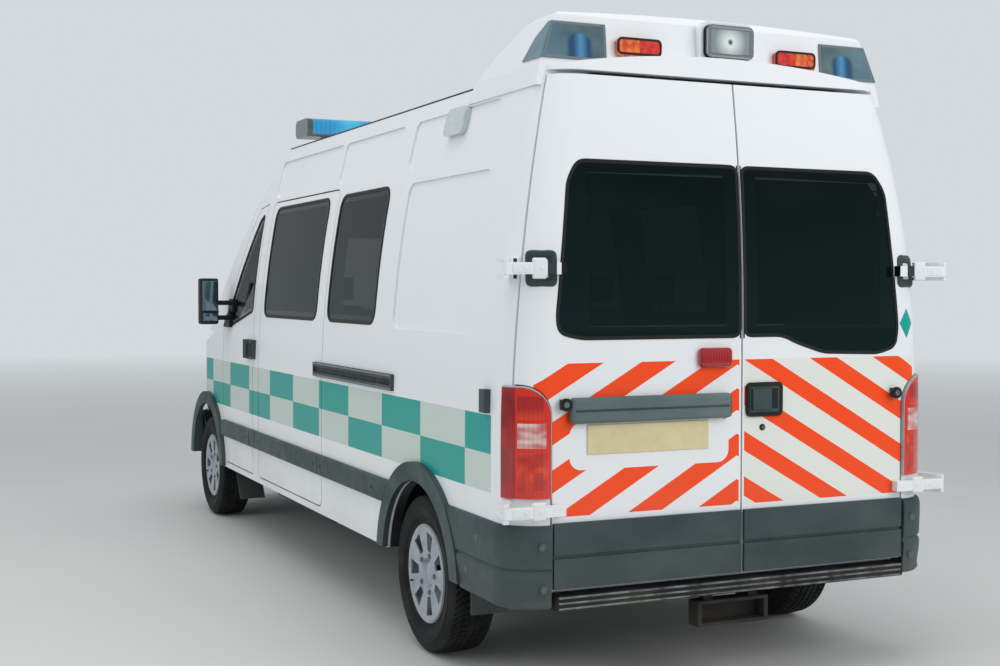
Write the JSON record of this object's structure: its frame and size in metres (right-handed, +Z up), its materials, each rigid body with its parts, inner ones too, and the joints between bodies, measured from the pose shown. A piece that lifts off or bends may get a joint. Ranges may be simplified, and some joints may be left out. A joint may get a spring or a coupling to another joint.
{
  "type": "patient transport ambulance",
  "caption": "Long high-roof panel van fitted out as an ambulance, with swinging rear doors, hinged cab doors and bonnet, steered front wheels and a lamp pod on the roof.",
  "frame": {"origin": "on the ground at the middle of the bounding box, as the van stands parked", "axes": "+X forward, +Y to the van's left, +Z up"},
  "size_m": [5.8985, 2.36, 2.6719],
  "materials": {
    "body_paint": "gloss white paint",
    "pod_paint": "gloss white moulded pod",
    "trim_grey": "grained dark grey plastic",
    "black_plastic": "black plastic",
    "clear_glass": "tinted clear glass",
    "dark_glass": "privacy glass",
    "tyre": "rubber",
    "rim_silver": "silver paint",
    "red_lens": "clear red lens",
    "amber_lens": "amber and red lens",
    "blue_lens": "clear blue lens",
    "lamp_clear": "clear lens",
    "chassis": "black underbody coating",
    "cast": "rough casting",
    "steel": "plain steel",
    "seat_fabric": "woven seat cloth",
    "interior_grey": "grained interior plastic",
    "rail_yellow": "yellow coated tube"
  },
  "bodies": {
    "body": {"left_side_panel": "body_paint", "right_side_panel": "body_paint", "side_glass": "dark_glass", "sliding_door": "body_paint", "roof": "body_paint", "cab_frame": "body_paint", "windscreen": "clear_glass", "headlamps": "lamp_clear", "nose_panel": "body_paint", "grille": "black_plastic", "front_wings": "body_paint", "front_bumper": "trim_grey", "rear_frame": "body_paint", "tail_lamps": "red_lens", "rear_bumper": "trim_grey", "rear_step": "chassis", "side_trims": "trim_grey", "underbody": "chassis", "bulkheads": "interior_grey", "front_suspension": "chassis", "rear_axle": "chassis", "engine_block": "cast", "exhaust": "steel", "fuel_tank": "black_plastic", "roof_pod": "pod_paint", "corner_beacons": "blue_lens", "marker_lamps": "amber_lens", "light_bar": "blue_lens", "seats": "seat_fabric", "dashboard": "interior_grey", "steering_wheel": "black_plastic", "grab_rails": "rail_yellow"},
    "left_rear_door": {"left_rear_door": "body_paint", "left_rear_glass": "dark_glass", "left_rear_fittings": "trim_grey"},
    "right_rear_door": {"right_rear_door": "body_paint", "right_rear_glass": "dark_glass", "right_rear_fittings": "trim_grey"},
    "left_cab_door": {"left_cab_door": "body_paint", "left_cab_glass": "clear_glass", "left_door_fittings": "trim_grey"},
    "right_cab_door": {"right_cab_door": "body_paint", "right_cab_glass": "clear_glass", "right_door_fittings": "trim_grey"},
    "bonnet": {"bonnet": "body_paint"},
    "left_knuckle": {"front_left_knuckle": "cast"},
    "right_knuckle": {"front_right_knuckle": "cast"},
    "front_left_wheel": {"front_left_rim": "rim_silver", "front_left_tyre": "tyre"},
    "front_right_wheel": {"front_right_rim": "rim_silver", "front_right_tyre": "tyre"},
    "rear_left_wheel": {"rear_left_rim": "rim_silver", "rear_left_tyre": "tyre"},
    "rear_right_wheel": {"rear_right_rim": "rim_silver", "rear_right_tyre": "tyre"}
  },
  "joints": [
    {"name": "left_rear_door_swing", "type": "hinge", "parent": "body", "child": "left_rear_door", "pos_m": [-2.939, 1.025, 1.2], "axis": [0, 0, -1], "range_deg": [0, 270]},
    {"name": "right_rear_door_swing", "type": "hinge", "parent": "body", "child": "right_rear_door", "pos_m": [-2.939, -1.025, 1.2], "axis": [0, 0, 1], "range_deg": [0, 270]},
    {"name": "left_cab_door_swing", "type": "hinge", "parent": "body", "child": "left_cab_door", "pos_m": [1.7, 0.985, 1], "axis": [0, 0.0349, -0.9994], "range_deg": [0, 65]},
    {"name": "right_cab_door_swing", "type": "hinge", "parent": "body", "child": "right_cab_door", "pos_m": [1.7, -0.985, 1], "axis": [0, 0.0349, 0.9994], "range_deg": [0, 65]},
    {"name": "bonnet_lift", "type": "hinge", "parent": "body", "child": "bonnet", "pos_m": [2.3, 0, 1.262], "axis": [0, -1, 0], "range_deg": [0, 60]},
    {"name": "left_steer", "type": "hinge", "parent": "body", "child": "left_knuckle", "pos_m": [2.125, 0.848, 0.343], "axis": [0, 0, 1], "range_deg": [-35, 35]},
    {"name": "right_steer", "type": "hinge", "parent": "body", "child": "right_knuckle", "pos_m": [2.125, -0.848, 0.343], "axis": [0, 0, 1], "range_deg": [-35, 35]},
    {"name": "front_left_wheel_spin", "type": "hinge", "parent": "left_knuckle", "child": "front_left_wheel", "pos_m": [2.125, 0.87, 0.343], "axis": [0, 1, 0], "continuous": true},
    {"name": "front_right_wheel_spin", "type": "hinge", "parent": "right_knuckle", "child": "front_right_wheel", "pos_m": [2.125, -0.87, 0.343], "axis": [0, 1, 0], "continuous": true},
    {"name": "rear_left_wheel_spin", "type": "hinge", "parent": "body", "child": "rear_left_wheel", "pos_m": [-1.953, 0.8625, 0.343], "axis": [0, 1, 0], "continuous": true},
    {"name": "rear_right_wheel_spin", "type": "hinge", "parent": "body", "child": "rear_right_wheel", "pos_m": [-1.953, -0.8625, 0.343], "axis": [0, 1, 0], "continuous": true}
  ],
  "couplings": [
    {"joint": "right_steer", "follows": "left_steer", "ratio": 1}
  ]
}
